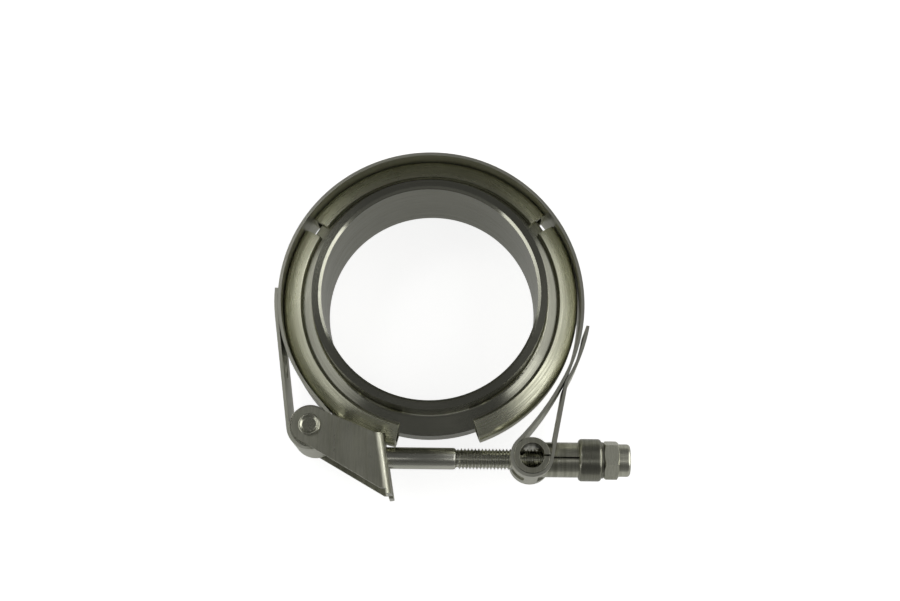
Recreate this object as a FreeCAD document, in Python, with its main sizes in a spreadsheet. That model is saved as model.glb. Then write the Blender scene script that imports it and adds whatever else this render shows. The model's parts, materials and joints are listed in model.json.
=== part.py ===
"""Quick-release V-band clamp with its two weld flanges, as a parametric model.

The origin is the centre of the mating plane of the two flanges.  +Z is the
pipe axis.  The T-bolt runs along +X in front of the ring, at negative Y.
All sizes are in millimetres and degrees.
"""

import FreeCAD, Part
import os
from math import acos, asin, atan2, cos, degrees, pi, radians, sin, sqrt, tan

import Sketcher
from FreeCAD import Placement, Rotation, Vector

DOC = FreeCAD.newDocument("VBandClamp")
Z_AXIS = Vector(0, 0, 1)

# --------------------------------------------------------------------------
# Driving sizes.  Each one is a cell of the sheet, with the same alias.
# --------------------------------------------------------------------------
DRIVING_SIZES = {
    # weld flanges for a 2.5 inch pipe
    "bore_radius": 30.9,
    "bore_chamfer": 0.8,
    "neck_wall": 2.7,
    "neck_fillet": 1.6,
    "rim_step": 5.9,
    "flange_height": 15.1,
    "register_step": 3.3,
    "register_width": 1.6,
    "register_height": 1.0,
    "register_clearance": 0.1,
    # V-segments, bent from sheet
    "vee_angle": 20.0,
    "vee_sheet": 1.4,
    "vee_stand_off": 3.5,
    "vee_tip_gap": 4.0,
    "vee_tip_height": 6.0,
    "vee_bend_radius": 2.4,
    "vee_seat_clearance": 0.02,
    "gap_right_angle": 35.8,
    "gap_left_angle": 147.3,
    "gap_spread": 5.4,
    "vee_left_end": 257.2,
    "vee_right_end": -69.8,
    # strap
    "strap_sheet": 0.9,
    "strap_width": 19.0,
    "strap_leave_angle": 40.0,
    "strap_rise": 1.5,
    "strap_rise_angle": -28.0,
    "strap_turn_angle": -27.5160271,
    "tail_gap": 0.05,
    "tail_left_end": 177.0,
    "tail_right_end": -10.0,
    "tail_right_gap": 0.25,
    "tail_right_fold": -30.7714760,
    "tail_bend_radius": 5.0,
    "run_hole_radius": 3.25,
    "run_hole_rise": 19.5,
    "window_clearance": 0.35,
    "swing_angle": 30.0,
    "window_inset": 1.872,
    # spot welds: shallow round marks on the outside of the strap
    "weld_mark_radius": 1.9,
    "weld_mark_depth": 0.15,
    "weld_mark_pitch": 45.0,
    "weld_tail_first": 6.0,
    "weld_tail_pitch": 8.0,
    "weld_tail_spread": 9.6,
    # saddle, a folded sheet that turns in the right-hand loop
    "saddle_inset": 13.6,
    "bolt_gap": 2.35,
    "tube_radius": 5.1,
    "tube_wall": 1.6,
    "tube_height": 19.6,
    "loop_clearance": 0.1,
    "barrel_wall": 1.6,
    "barrel_clearance": 0.4,
    "barrel_seam": 0.4,
    "saddle_hole_clearance": 0.25,
    # collar pressed over the end of the saddle
    "collar_start": 13.5,
    "collar_length": 7.1,
    "collar_wall": 1.03,
    "collar_end_wall": 1.2,
    "collar_lip": 0.5,
    "collar_lip_step": 0.85,
    "collar_round": 1.0,
    "collar_clearance": 0.02,
    # T-bolt
    "thread_radius": 3.0,
    "shank_step": 0.1,
    "thread_reach": 21.6,
    "thread_run_out": 0.5,
    "bolt_sunk": 0.7,
    "bolt_point": 0.7,
    "head_radius": 3.2,
    "head_length": 16.0,
    "head_chamfer": 0.6,
    "head_clearance": 0.1,
    # prevailing-torque nut
    "nut_flats": 10.0,
    "nut_face_inset": 0.2,
    "nut_height": 4.3,
    "nut_seat_gap": 0.1,
    "nut_clearance": 0.04,
    "nut_turn": 18.8,
    "nut_chamfer_angle": 30.0,
    "dome_step": 1.65,
    "dome_length": 3.3,
    "dome_wall": 0.7,
    "dome_round": 0.9,
    "insert_length": 2.2,
    # latch bracket, folded sheet
    "pin_angle": 228.6316732,
    "pin_rise": 0.4847489,
    "latch_half_height": 11.8,
    "latch_sheet": 1.4,
    "latch_bend_radius": 2.6,
    "ear_end_radius": 5.1,
    "ear_top_left": 15.0,
    "ear_top_rise": 5.75,
    "ear_low_left": 12.9,
    "ear_low_drop": 9.85,
    "face_tilt": 9.5,
    "face_left": 11.65,
    "face_tip_drop": 11.25,
    "lip_overlap": 0.1,
    "slot_clearance": 0.1,
    "latch_vee_clearance": 0.1,
    # rivet and spacer that carry the latch
    "rivet_radius": 2.5,
    "rivet_clearance": 0.05,
    "rivet_head_radius": 3.1,
    "rivet_head_height": 0.9,
    "rivet_rim": 0.5,
    "rivet_dish": 0.6,
    "spacer_radius": 5.8,
    "spacer_clearance": 0.05,
    "spacer_end_clearance": 0.1,
}


def make_sheet():
    """Write the driving sizes into a spreadsheet, one alias per cell."""
    sheet = DOC.addObject("Spreadsheet::Sheet", "Sizes")
    for row, (alias, value) in enumerate(DRIVING_SIZES.items(), start=1):
        sheet.set("A%d" % row, alias)
        sheet.set("B%d" % row, str(value))
        sheet.setAlias("B%d" % row, alias)
    DOC.recompute()
    return sheet


SHEET = make_sheet()


class Dim:
    """A dimension: its present value and the expression that binds to it."""

    def __init__(self, value, text):
        self.value = value
        self.text = text

    def _join(self, other, sign, value):
        return Dim(value, "(%s %s %s)" % (self.text, sign, dim(other).text))

    def __add__(self, other):
        return self._join(other, "+", self.value + dim(other).value)

    def __sub__(self, other):
        return self._join(other, "-", self.value - dim(other).value)

    def __mul__(self, other):
        return self._join(other, "*", self.value * dim(other).value)

    def __truediv__(self, other):
        return self._join(other, "/", self.value / dim(other).value)

    def __radd__(self, other):
        return dim(other) + self

    def __rsub__(self, other):
        return dim(other) - self

    def __rmul__(self, other):
        return dim(other) * self

    def __neg__(self):
        return Dim(-self.value, "(-1 * %s)" % self.text)


def dim(number):
    """Let a plain number stand where a dimension is wanted."""
    return number if isinstance(number, Dim) else Dim(float(number), repr(float(number)))


def size(alias):
    """One driving size, read from its cell."""
    return Dim(float(SHEET.get(alias)), "Sizes." + alias)


def sine(angle):
    return Dim(sin(radians(angle.value)), "sin(%s * 1 deg)" % angle.text)


def cosine(angle):
    return Dim(cos(radians(angle.value)), "cos(%s * 1 deg)" % angle.text)


def tangent(angle):
    return Dim(tan(radians(angle.value)), "tan(%s * 1 deg)" % angle.text)


def unit(angle):
    """Unit vector in the XY plane at an angle in degrees."""
    return Vector(cos(radians(angle)), sin(radians(angle)), 0)


def heading(vector):
    """Angle of a vector in the XY plane, in degrees."""
    return degrees(atan2(vector.y, vector.x))


def bind(obj, prop, dimension):
    """Bind one property of an object to a dimension."""
    obj.setExpression(prop, dim(dimension).text)


def place(obj, x=0, y=0, z=0, turn=None, axis=Z_AXIS):
    """Give an object a bound place and, if wanted, a bound turn about an axis."""
    x, y, z = dim(x), dim(y), dim(z)
    angle = dim(turn or 0)
    obj.Placement = Placement(Vector(x.value, y.value, z.value), Rotation(axis, angle.value))
    for letter, distance in zip("xyz", (x, y, z)):
        bind(obj, "Placement.Base." + letter, distance)
    if turn is not None:
        bind(obj, "Placement.Rotation.Angle", angle)


# --------------------------------------------------------------------------
# Builders shared by the sub-parts
# --------------------------------------------------------------------------
def body(label):
    """A PartDesign body with a label of its own."""
    made = DOC.addObject("PartDesign::Body", label)
    made.Label = label
    return made


def outline(owner, role, points, arcs=None):
    """Closed sketch on an origin plane, with every corner bound.

    points are (u, v) pairs.  arcs maps the number of a corner to the radius
    of the arc that leaves it and the side of its centre, +1 for left.
    """
    arcs = arcs or {}
    sketch = owner.newObject("Sketcher::SketchObject", owner.Label + "_outline")
    plane = next(f for f in owner.Origin.OriginFeatures if f.Role == role)
    sketch.AttachmentSupport = [(plane, "")]
    sketch.MapMode = "FlatFace"
    corners = [Vector(dim(u).value, dim(v).value, 0) for u, v in points]
    total = len(corners)

    def ends(index):
        """Vertex numbers of an edge's first and last corner."""
        turned = index in arcs and arcs[index][1] < 0
        return (2, 1) if turned else (1, 2)

    for index, start in enumerate(corners):
        finish = corners[(index + 1) % total]
        if index in arcs:
            radius, side = dim(arcs[index][0]).value, arcs[index][1]
            chord = finish - start
            sagitta = sqrt(max(radius ** 2 - chord.Length ** 2 / 4, 0))
            normal = Vector(-chord.y, chord.x, 0).normalize()
            centre = (start + finish) / 2 + normal * sagitta * side
            first, last = (start, finish) if side > 0 else (finish, start)
            sketch.addGeometry(Part.ArcOfCircle(
                Part.Circle(centre, Z_AXIS, radius),
                atan2(first.y - centre.y, first.x - centre.x),
                atan2(last.y - centre.y, last.x - centre.x)))
        else:
            sketch.addGeometry(Part.LineSegment(start, finish))
    for index in range(total):
        after = (index + 1) % total
        sketch.addConstraint(Sketcher.Constraint(
            "Coincident", index, ends(index)[1], after, ends(after)[0]))
    for index, (u, v) in enumerate(points):
        for kind, distance in (("DistanceX", dim(u)), ("DistanceY", dim(v))):
            number = sketch.addConstraint(Sketcher.Constraint(
                kind, -1, 1, index, ends(index)[0], distance.value))
            bind(sketch, "Constraints[%d]" % number, distance)
    for index, (radius, _) in arcs.items():
        number = sketch.addConstraint(
            Sketcher.Constraint("Radius", index, dim(radius).value))
        bind(sketch, "Constraints[%d]" % number, radius)
    return sketch


def turned(label, points, arcs=None, about="V_Axis", angle=None):
    """Body made by revolving a profile drawn in the XZ plane."""
    made = body(label)
    sketch = outline(made, "XZ_Plane", points, arcs)
    spin = made.newObject("PartDesign::Revolution", label + "_turn")
    spin.Profile = sketch
    spin.ReferenceAxis = (sketch, [about])
    if angle is None:
        spin.Angle = 360
    else:
        spin.Midplane = True
        spin.Angle = angle.value
        bind(spin, "Angle", angle)
    return made


def padded(label, role, points, length, arcs=None):
    """Body made by padding an outline evenly to both sides of its plane."""
    made = body(label)
    sketch = outline(made, role, points, arcs)
    pad = made.newObject("PartDesign::Pad", label + "_pad")
    pad.Profile = sketch
    pad.Midplane = True
    pad.Length = dim(length).value
    bind(pad, "Length", length)
    return made


def cylinder(name, radius, height, x=0, y=0, z=0, along=None):
    """Bound Part cylinder; along is the axis that its own Z is turned about."""
    made = DOC.addObject("Part::Cylinder", name)
    made.Radius, made.Height = dim(radius).value, dim(height).value
    bind(made, "Radius", radius)
    bind(made, "Height", height)
    place(made, x, y, z, 90 if along else None, along or Z_AXIS)
    return made


def box(name, length, width, height, x, y, z):
    """Bound Part box with its low corner at x, y, z."""
    made = DOC.addObject("Part::Box", name)
    for prop, value in (("Length", length), ("Width", width), ("Height", height)):
        setattr(made, prop, dim(value).value)
        bind(made, prop, value)
    place(made, x, y, z)
    return made


def joined(kind, name, shapes):
    """Fuse or intersect a list of objects."""
    made = DOC.addObject("Part::Multi" + kind, name)
    made.Shapes = shapes
    return made


def cut(label, base, tools):
    """Cut one or more tools from a base."""
    made = DOC.addObject("Part::Cut", label)
    made.Base = base
    made.Tool = tools[0] if len(tools) == 1 else joined("Fuse", label + "_tools", tools)
    made.Label = label
    return made


# --------------------------------------------------------------------------
# Flanges and V-segments
# --------------------------------------------------------------------------
VEE = size("vee_angle")
NECK = size("bore_radius") + size("neck_wall")
RIM = NECK + size("rim_step")
REGISTER = size("bore_radius") + size("register_step")
TIP = NECK + size("vee_tip_gap")
WEB = RIM + size("vee_stand_off")
SEAT_HEIGHT = (size("vee_tip_height")
               - (size("vee_sheet") + size("vee_seat_clearance")) / cosine(VEE)
               + (TIP - RIM) * tangent(VEE))


def flange(label, up):
    """Weld flange: neck, cone that the V-segments pull on, and register.

    up is +1 for the upper flange, with the groove, and -1 for the lower one,
    with the raised ring that seats in it.
    """
    bore, neck, rim = size("bore_radius"), NECK, RIM
    top, fillet, chamfer = size("flange_height"), size("neck_fillet"), size("bore_chamfer")
    slack = size("register_clearance") if up > 0 else dim(0)
    inner = REGISTER - slack
    outer = REGISTER + size("register_width") + slack
    depth = (size("register_height") + slack) * up
    fillet_height = (SEAT_HEIGHT + fillet / cosine(VEE)
                     + (rim - neck - fillet) * tangent(VEE))
    profile = [
        (bore, 0), (inner, 0), (inner, depth), (outer, depth), (outer, 0),
        (rim, 0), (rim, SEAT_HEIGHT),
        (neck + fillet - fillet * sine(VEE), fillet_height - fillet * cosine(VEE)),
        (neck, fillet_height),
        (neck, top), (bore + chamfer, top), (bore, top - chamfer),
    ]
    points = [(u, dim(v) * up) for u, v in profile]
    return turned(label, points, {7: (fillet, -up)})


def vee_segment(label, start, finish):
    """One bent V-segment between two angles."""
    sheet, bend = size("vee_sheet"), size("vee_bend_radius")
    web, tip = WEB, TIP
    height = size("vee_tip_height")
    centre_u = web - bend
    centre_v = height - (bend + (centre_u - tip) * sine(VEE)) / cosine(VEE)
    inner_bend = bend - sheet
    half = [
        (tip - sheet * sine(VEE), height - sheet * cosine(VEE)),
        (tip, height),
        (centre_u + bend * sine(VEE), centre_v + bend * cosine(VEE)),
        (web, centre_v),
    ]
    inside = [
        (web - sheet, centre_v),
        (centre_u + inner_bend * sine(VEE), centre_v + inner_bend * cosine(VEE)),
    ]
    points = (half + [(u, -v) for u, v in reversed(half)]
              + [(u, -v) for u, v in reversed(inside)] + inside)
    arcs = {2: (bend, -1), 4: (bend, -1), 8: (inner_bend, 1), 10: (inner_bend, 1)}
    made = turned(label, points, arcs, angle=finish - start)
    place(made, turn=(finish + start) / 2)
    return made


# --------------------------------------------------------------------------
# Strap, with its loops round the saddle and the latch's spacer
# --------------------------------------------------------------------------
FRONT = -(WEB + size("bolt_gap"))
ACROSS = WEB - size("saddle_inset")
PIN_REACH = (WEB + size("strap_sheet") + size("spacer_radius")
             + size("spacer_clearance") + size("pin_rise"))
PIN_X = PIN_REACH * cosine(size("pin_angle"))
PIN_Y = PIN_REACH * sine(size("pin_angle"))
SHANK = size("thread_radius") + size("shank_step")
BARREL_BORE = size("thread_radius") + size("barrel_clearance")
BARREL = BARREL_BORE + size("barrel_wall")


class Arc:
    """Stretch of the strap's middle line on a circle, from angle to angle."""

    def __init__(self, centre, radius, start, finish):
        self.centre, self.radius = centre, radius
        self.start, self.finish = start, finish

    def edge(self, shift):
        """The same stretch, moved left of its way by shift."""
        way = 1 if self.finish > self.start else -1
        radius = self.radius - way * shift
        middle = (self.start + self.finish) / 2
        points = [self.centre + unit(a) * radius for a in (self.start, middle, self.finish)]
        return Part.Arc(*points).toShape(), points[0], points[2]


class Line:
    """Straight stretch of the strap's middle line."""

    def __init__(self, start, finish):
        self.start, self.finish = start, finish

    def edge(self, shift):
        """The same stretch, moved left of its way by shift."""
        way = (self.finish - self.start).normalize()
        left = Vector(-way.y, way.x, 0) * shift
        start, finish = self.start + left, self.finish + left
        return Part.LineSegment(start, finish).toShape(), start, finish


def strap_route():
    """Middle line of the strap, from its right-hand tail to its left-hand one."""
    get = lambda alias: size(alias).value
    half = get("strap_sheet") / 2
    ring = WEB.value + half
    centre = Vector(0, 0, 0)

    # right-hand loop round the saddle tube
    saddle = Vector(ACROSS.value, FRONT.value, 0)
    loop = get("tube_radius") + get("loop_clearance") + half
    tail = ring + half + get("strap_rise") + get("tail_right_gap") + half
    bend, bend_angle = get("tail_bend_radius"), get("tail_right_fold")
    bend_centre = unit(bend_angle) * (tail + bend)
    to_bend = bend_centre - saddle
    lean = heading(to_bend) - degrees(acos((loop + bend) / to_bend.Length))
    bend_start = bend_centre - unit(lean) * bend

    # from the ring the strap rises slowly off the V-segments
    leave, rise_angle = get("strap_leave_angle"), get("strap_rise_angle")
    spread = cos(radians(leave - rise_angle))
    rise_radius = (ring + get("strap_rise") - ring * spread) / (1 - spread)
    rise_centre = unit(leave) * (ring - rise_radius)
    turn_in = get("strap_turn_angle")
    run_start = rise_centre + unit(turn_in) * rise_radius
    to_saddle = saddle - run_start
    run_radius = ((to_saddle.Length ** 2 - loop ** 2)
                  / (2 * (loop - to_saddle.dot(unit(turn_in)))))
    run_centre = run_start - unit(turn_in) * run_radius
    run_end = heading(saddle - run_centre)

    # left-hand loop round the spacer
    pin = Vector(PIN_X.value, PIN_Y.value, 0)
    eye = get("spacer_radius") + get("spacer_clearance") + half
    side = degrees(acos((ring + eye) / pin.Length))
    off = heading(pin) - side + 360
    tail_left = ring + half + get("tail_gap") + half
    back = heading(pin) - degrees(acos((tail_left - eye) / pin.Length))

    return [
        Arc(centre, tail, get("tail_right_end"), bend_angle),
        Arc(bend_centre, bend, bend_angle + 180, lean + 180),
        Line(bend_start, saddle + unit(lean) * loop),
        Arc(saddle, loop, lean, run_end - 180),
        Arc(run_centre, run_radius, run_end, turn_in),
        Arc(rise_centre, rise_radius, turn_in, leave),
        Arc(centre, ring, leave, off),
        Line(unit(off) * ring, pin - unit(off) * eye),
        Arc(pin, eye, off - 180, back),
        Line(pin + unit(back) * eye, unit(back) * tail_left),
        Arc(centre, tail_left, back + 360, get("tail_left_end")),
    ]


def strap_band():
    """The bent strip of the strap, before its windows are cut."""
    half = size("strap_sheet").value / 2
    route = strap_route()
    left = [stretch.edge(half) for stretch in route]
    right = [stretch.edge(-half) for stretch in route]
    caps = [Part.LineSegment(left[0][1], right[0][1]).toShape(),
            Part.LineSegment(left[-1][2], right[-1][2]).toShape()]
    edges = [item[0] for item in left] + [item[0] for item in right] + caps
    face = Part.Face(Part.Wire(Part.__sortEdges__(edges)))
    width = size("strap_width").value
    face.translate(Vector(0, 0, -width / 2))
    band = DOC.addObject("Part::Feature", "strap_band")
    band.Shape = face.extrude(Vector(0, 0, width))
    return band


def radial_tool(name, radius, middle, outward, half_length):
    """Cylinder across the strip at a point of its middle line."""
    tool = DOC.addObject("Part::Cylinder", name)
    bind(tool, "Radius", radius)
    bind(tool, "Height", half_length * 2)
    tool.Placement = Placement(middle - outward * half_length.value,
                               Rotation(Z_AXIS, outward))
    return tool


def weld_marks(route):
    """Tools for the spot-weld marks on the outside of the ring and the tails."""
    ring, left_tail, right_tail = route[6], route[10], route[0]
    half_sheet, depth = size("strap_sheet") / 2, size("weld_mark_depth")
    gap_right, gap_left = size("gap_right_angle").value, size("gap_left_angle").value
    pitch = size("weld_mark_pitch").value
    middle = (gap_right + gap_left) / 2
    spots = [(ring, middle + pitch * step, 0) for step in (-1, 0, 1)]
    first, step = size("weld_tail_first").value, size("weld_tail_pitch").value
    spread = size("weld_tail_spread") / 2
    for row in (-1, 1):
        for number in (0, 1):
            across = first + step * number
            spots.append((left_tail, left_tail.finish + across, spread * row))
            spots.append((right_tail, right_tail.start - across, spread * row))
    spots.append((ring, (gap_left + left_tail.finish) / 2, 0))
    tools = []
    for number, (stretch, angle, height) in enumerate(spots):
        surface = stretch.centre + unit(angle) * (stretch.radius + half_sheet.value)
        surface.z = dim(height).value
        tools.append(radial_tool("weld_mark_%d" % number, size("weld_mark_radius"),
                                 surface, unit(angle), depth))
    return tools


def strap():
    """Strap with its windows, a punched hole and the marks of its spot welds."""
    route = strap_route()
    loop_out = (size("tube_radius") + size("loop_clearance")
                + size("strap_sheet") + size("window_clearance"))
    slack = size("window_clearance")

    # window for the bolt: a sector of the loop that the swing sweeps
    bolt_half = size("thread_radius") + slack
    sector = DOC.addObject("Part::Cylinder", "bolt_window")
    sector.Label = "bolt_window"
    half_view = degrees(asin(bolt_half.value / size("tube_radius").value))
    bind(sector, "Radius", loop_out)
    bind(sector, "Height", bolt_half * 2)
    sector.Angle = 2 * half_view + size("swing_angle").value
    place(sector, ACROSS, FRONT, -bolt_half, dim(180 - half_view))

    # window for the saddle barrel, along the outer run
    lean = dim(-route[3].start)
    barrel_half = BARREL + slack
    reach = (size("swing_angle") + lean)
    run = size("tube_radius") + size("loop_clearance")
    climb = (run + size("strap_sheet")) * tangent(reach) + barrel_half / cosine(reach)
    window = DOC.addObject("Part::Box", "saddle_window")
    bind(window, "Length", run)
    bind(window, "Width", climb + barrel_half)
    bind(window, "Height", barrel_half * 2)
    inset = size("window_inset")
    place(window,
          ACROSS + inset * cosine(lean) - barrel_half * sine(lean),
          FRONT - inset * sine(lean) - barrel_half * cosine(lean),
          -barrel_half, -lean)

    # punched hole in the outer run of the left-hand end
    line = route[9]
    way = (line.finish - line.start).normalize()
    middle = line.start + way * size("run_hole_rise").value
    hole = radial_tool("run_hole", size("run_hole_radius"), middle,
                       Vector(way.y, -way.x, 0), size("strap_sheet") * 3)
    return cut("strap", strap_band(), [sector, window, hole] + weld_marks(route))


# --------------------------------------------------------------------------
# Saddle, collar, bolt and nut: all on the bolt line
# --------------------------------------------------------------------------
COLLAR_LEFT = ACROSS + size("collar_start")
COLLAR_RIGHT = COLLAR_LEFT + size("collar_length")
NUT_LEFT = COLLAR_RIGHT + size("nut_seat_gap")
NUT_RIGHT = NUT_LEFT + size("nut_height")
NUT_BORE = size("thread_radius") + size("nut_clearance")
HEXAGON_SIDES = 6


def saddle():
    """Folded saddle: a cross tube and a split barrel for the bolt."""
    tall = size("tube_height")
    barrel_right = COLLAR_RIGHT - size("collar_end_wall") - size("collar_lip")
    tube = cylinder("saddle_tube", size("tube_radius"), tall, ACROSS, FRONT, -tall / 2)
    barrel = cylinder("saddle_barrel", BARREL, barrel_right - ACROSS,
                      ACROSS, FRONT, 0, Vector(0, 1, 0))
    blank = joined("Fuse", "saddle_blank", [tube, barrel])
    reach = size("tube_radius") * 2
    hole = size("thread_radius") + size("saddle_hole_clearance")
    tools = [
        cylinder("saddle_eye", size("tube_radius") - size("tube_wall"), tall * 2, ACROSS, FRONT, -tall),
        cylinder("barrel_bore", BARREL_BORE, barrel_right - ACROSS + reach,
                 ACROSS, FRONT, 0, Vector(0, 1, 0)),
        cylinder("saddle_hole", hole, reach, ACROSS - reach, FRONT, 0, Vector(0, 1, 0)),
        box("saddle_seam", barrel_right - ACROSS + reach, size("barrel_seam"), tall * 2,
            ACROSS, FRONT - size("barrel_seam") / 2, -tall),
    ]
    return cut("saddle", blank, tools)


def saddle_collar():
    """Cup that is pressed over the barrel and takes the load of the nut."""
    inner, rounding = BARREL + size("collar_clearance"), size("collar_round")
    outer = inner + size("collar_wall")
    hole = size("thread_radius") + size("saddle_hole_clearance")
    lip, lip_radius = COLLAR_RIGHT - size("collar_lip"), outer - size("collar_lip_step")
    floor = lip - size("collar_end_wall")
    points = [
        (COLLAR_LEFT, inner), (COLLAR_LEFT, outer - rounding),
        (COLLAR_LEFT + rounding, outer), (lip - rounding, outer),
        (lip, outer - rounding), (lip, lip_radius), (COLLAR_RIGHT, lip_radius),
        (COLLAR_RIGHT, hole), (floor, hole), (floor, inner),
    ]
    made = turned("saddle_collar", points, {1: (rounding, -1), 3: (rounding, -1)}, "H_Axis")
    place(made, y=FRONT)
    return made


def face_point(front):
    """X of the outer face of the latch's front plate at a distance in front."""
    return -size("face_left") + (front + FRONT) * tangent(size("face_tilt"))


def t_bolt():
    """T-bolt: round cross head, plain shank and thread at its major size."""
    radius, shank = size("thread_radius"), SHANK
    step, point = size("thread_run_out"), size("bolt_point")
    end = NUT_RIGHT + size("dome_length") - size("bolt_sunk")
    start = ACROSS - size("thread_reach")
    head_x = (-size("face_left")
              - (size("latch_sheet") + size("head_clearance") + size("head_radius"))
              / cosine(size("face_tilt")))
    rod = turned("bolt_rod", [
        (head_x, 0), (head_x, shank), (start, shank), (start + step, radius),
        (end - point, radius), (end, radius - point), (end, 0),
    ], about="H_Axis")
    place(rod, y=FRONT)
    half, round_off = size("head_length") / 2, size("head_chamfer")
    head_radius = size("head_radius")
    head = turned("bolt_head", [
        (0, -half), (head_radius - round_off, -half), (head_radius, -half + round_off),
        (head_radius, half - round_off), (head_radius - round_off, half), (0, half),
    ])
    place(head, x=head_x, y=FRONT)
    made = joined("Fuse", "t_bolt", [rod, head])
    made.Label = "t_bolt"
    return made


def lock_nut():
    """Hexagon nut with a domed end that holds the friction ring."""
    flat = size("nut_flats") / 2
    step = dim(360 / HEXAGON_SIDES)
    corner = flat / cosine(step / 2)
    height = size("nut_height")
    hexagon = [(corner * cosine(step * k), corner * sine(step * k))
               for k in range(HEXAGON_SIDES)]
    prism = padded("nut_prism", "YZ_Plane", hexagon, height * 3)
    place(prism, NUT_LEFT, FRONT, 0, size("nut_turn") + 90, Vector(1, 0, 0))
    face = flat - size("nut_face_inset")
    drop = (corner - face) * tangent(size("nut_chamfer_angle"))
    form = turned("nut_form", [
        (NUT_LEFT, NUT_BORE), (NUT_LEFT, face), (NUT_LEFT + drop, corner),
        (NUT_RIGHT - drop, corner), (NUT_RIGHT, face), (NUT_RIGHT, NUT_BORE),
    ], about="H_Axis")
    place(form, y=FRONT)
    hex_part = joined("Common", "nut_hexagon", [prism, form])
    outer = size("thread_radius") + size("dome_step")
    rounding = size("dome_round")
    end = NUT_RIGHT + size("dome_length")
    pocket = end - size("dome_wall") - size("insert_length")
    inside = outer - size("dome_wall")
    mouth = size("thread_radius") + size("dome_wall")
    dome = turned("nut_dome", [
        (NUT_RIGHT - height / 2, NUT_BORE), (NUT_RIGHT - height / 2, outer),
        (end - rounding, outer), (end, outer - rounding), (end, mouth),
        (end - size("dome_wall"), mouth), (end - size("dome_wall"), inside),
        (pocket, inside), (pocket, NUT_BORE),
    ], {2: (rounding, -1)}, "H_Axis")
    place(dome, y=FRONT)
    made = joined("Fuse", "lock_nut", [hex_part, dome])
    made.Label = "lock_nut"
    return made


def nut_insert():
    """Friction ring inside the nut's dome."""
    end = NUT_RIGHT + size("dome_length") - size("dome_wall")
    outer = size("thread_radius") + size("dome_step") - size("dome_wall")
    start = end - size("insert_length")
    made = turned("nut_insert", [
        (start, NUT_BORE), (start, outer), (end, outer), (end, NUT_BORE)], about="H_Axis")
    place(made, y=FRONT)
    return made


# --------------------------------------------------------------------------
# Latch bracket, its rivet and spacer
# --------------------------------------------------------------------------
def latch_bracket():
    """Folded bracket: two ears on the rivet and a slotted front plate."""
    high, sheet = size("latch_half_height"), size("latch_sheet")
    bend = size("latch_bend_radius")
    inner_bend = bend - sheet
    deep = -PIN_X * 1.5
    channel = padded("latch_channel", "XZ_Plane", [
        (-deep, high), (-bend, high), (0, high - bend), (0, bend - high),
        (-bend, -high), (-deep, -high), (-deep, sheet - high), (-bend, sheet - high),
        (-sheet, bend - high), (-sheet, high - bend), (-bend, high - sheet),
        (-deep, high - sheet),
    ], size("face_tip_drop") * 4, {
        1: (bend, -1), 3: (bend, -1), 7: (inner_bend, 1), 9: (inner_bend, 1)})
    place(channel, -size("face_left"), FRONT, 0, size("face_tilt"))

    end = size("ear_end_radius")
    ear_top = (-size("ear_top_left"), FRONT + size("ear_top_rise"))
    ear_low = (-size("ear_low_left"), FRONT - size("ear_low_drop"))
    tip = -FRONT + size("face_tip_drop")
    top = Vector(ear_top[0].value, ear_top[1].value, 0)
    low = Vector(ear_low[0].value, ear_low[1].value, 0)
    pin = Vector(PIN_X.value, PIN_Y.value, 0)

    def touch(corner, side):
        """Angle on the round end where the edge from a corner meets it."""
        away = corner - pin
        return dim(heading(away) + side * degrees(acos(end.value / away.Length)))

    upper, lower = touch(top, 1), touch(low, -1)
    right = size("face_left") / 2
    lip_inner = face_point(tip) - sheet / cosine(size("face_tilt")) - size("lip_overlap")
    points = [
        (PIN_X + end * cosine(upper), PIN_Y + end * sine(upper)),
        (PIN_X - end, PIN_Y),
        (PIN_X + end * cosine(lower), PIN_Y + end * sine(lower)),
        ear_low, (lip_inner, ear_low[1]), (lip_inner, -tip), (-right, -tip),
        (-right, ear_top[1]), ear_top,
    ]
    plan = padded("latch_plan", "XY_Plane", points, high * 3, {0: (end, 1), 1: (end, 1)})
    blank = joined("Common", "latch_blank", [channel, plan])

    slot = SHANK + size("slot_clearance")
    bore = size("rivet_radius") + size("rivet_clearance")
    segment = WEB + size("latch_vee_clearance")
    notch = size("vee_tip_height") + size("latch_vee_clearance")
    tools = [
        cylinder("slot_end", slot, size("face_left") * 2, -size("face_left") * 2, FRONT, 0,
                 Vector(0, 1, 0)),
        box("slot_run", size("face_left") * 2, tip, slot * 2,
            -size("face_left") * 2, FRONT - tip, -slot),
        cylinder("segment_notch", segment, notch * 2, z=-notch),
        cylinder("rivet_holes", bore, high * 3, PIN_X, PIN_Y, high * -1.5),
    ]
    return cut("latch_bracket", blank, tools)


def latch_rivet():
    """Rivet through ears and spacer, with dished heads."""
    shank, head = size("rivet_radius"), size("rivet_head_radius")
    seat = size("latch_half_height")
    top = seat + size("rivet_head_height")
    rim, dish = size("rivet_rim"), size("rivet_dish")
    edge = rim / 2
    half = [
        (shank, seat), (head, seat), (head, top - edge), (head - edge, top),
        (head - rim, top), (head - rim - dish, top - dish), (0, top - dish),
    ]
    points = [(u, -v) for u, v in reversed(half)] + half
    made = turned("latch_rivet", points)
    place(made, PIN_X, PIN_Y)
    return made


def latch_spacer():
    """Tube on the rivet that fills the strap's left-hand loop."""
    high = size("latch_half_height") - size("latch_sheet") - size("spacer_end_clearance")
    bore = size("rivet_radius") + size("rivet_clearance")
    outer = size("spacer_radius")
    made = turned("latch_spacer", [(bore, -high), (outer, -high), (outer, high), (bore, high)])
    place(made, PIN_X, PIN_Y)
    return made


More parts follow.
